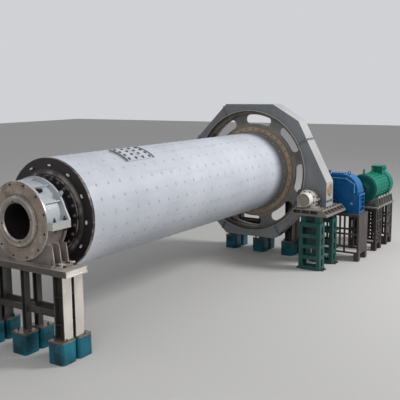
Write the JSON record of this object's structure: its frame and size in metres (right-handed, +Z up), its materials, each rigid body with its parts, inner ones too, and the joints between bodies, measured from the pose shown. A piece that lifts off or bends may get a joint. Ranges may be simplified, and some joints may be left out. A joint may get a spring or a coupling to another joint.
{
  "type": "ball mill",
  "caption": "Horizontal ball mill: a long steel drum on trunnion bearings and pedestals, turned by a guarded girth gear, pinion, reducer and motor.",
  "frame": {"origin": "centre of the assembly's bounding box, at floor level", "axes": "+X along the drum from feed to discharge, +Z up, -Y is the drive side"},
  "size_m": [14.097, 5.448, 4.85],
  "materials": {
    "shell_paint": "matt primer",
    "machined_steel": "machined",
    "dark_casting": "dark paint",
    "gear_steel": "cast and cut",
    "bearing_steel": "ground",
    "housing_grey": "satin",
    "cap_silver": "satin",
    "pedestal_dark": "mill scale",
    "block_teal": "satin",
    "guard_grey": "satin",
    "guard_light": "satin",
    "base_brown": "satin",
    "stand_green": "satin",
    "reducer_blue": "satin",
    "stand_dark": "satin",
    "motor_green": "satin"
  },
  "bodies": {
    "frame": {"feed_bearing": "bearing_steel", "discharge_bearing": "bearing_steel", "feed_bearing_base": "housing_grey", "discharge_bearing_base": "housing_grey", "feed_bearing_cap": "cap_silver", "discharge_bearing_cap": "cap_silver", "feed_bearing_covers": "machined_steel", "discharge_bearing_covers": "machined_steel", "feed_table": "pedestal_dark", "discharge_table": "pedestal_dark", "feed_columns": "pedestal_dark", "discharge_columns": "pedestal_dark", "feed_braces": "pedestal_dark", "discharge_braces": "pedestal_dark", "feed_foot_blocks": "block_teal", "discharge_foot_blocks": "block_teal", "guard_front": "guard_grey", "guard_rear": "guard_grey", "guard_rim": "guard_light", "guard_feet": "pedestal_dark", "pinion_bearings": "cap_silver", "pinion_base": "base_brown", "pinion_stands": "stand_green", "reducer_casing": "reducer_blue", "reducer_stand": "stand_dark", "motor_body": "motor_green", "motor_terminal_box": "motor_green", "motor_base": "base_brown", "motor_stand": "stand_dark"},
    "drum": {"shell": "shell_paint", "shell_flange": "machined_steel", "manhole_saddle": "shell_paint", "feed_head": "dark_casting", "discharge_head": "dark_casting", "feed_trunnion": "dark_casting", "discharge_trunnion": "dark_casting", "feed_lock_ring": "machined_steel", "discharge_lock_ring": "machined_steel", "girth_gear": "gear_steel", "gear_web": "gear_steel"},
    "pinion_line": {"pinion": "gear_steel", "pinion_shaft": "machined_steel", "low_speed_coupling": "gear_steel"},
    "motor_line": {"high_speed_coupling": "gear_steel"}
  },
  "joints": [
    {"name": "drum_spin", "type": "hinge", "parent": "frame", "child": "drum", "pos_m": [-6.0015, 0.624, 2.75], "axis": [1, 0, 0], "continuous": true},
    {"name": "pinion_spin", "type": "hinge", "parent": "frame", "child": "pinion_line", "pos_m": [-6.0015, -1.504, 2.0586], "axis": [1, 0, 0], "continuous": true},
    {"name": "motor_spin", "type": "hinge", "parent": "frame", "child": "motor_line", "pos_m": [-6.0015, -2.204, 2.0586], "axis": [1, 0, 0], "continuous": true}
  ],
  "couplings": [
    {"joint": "pinion_spin", "follows": "drum_spin", "ratio": -6.7826},
    {"joint": "motor_spin", "follows": "drum_spin", "ratio": 37.983}
  ]
}
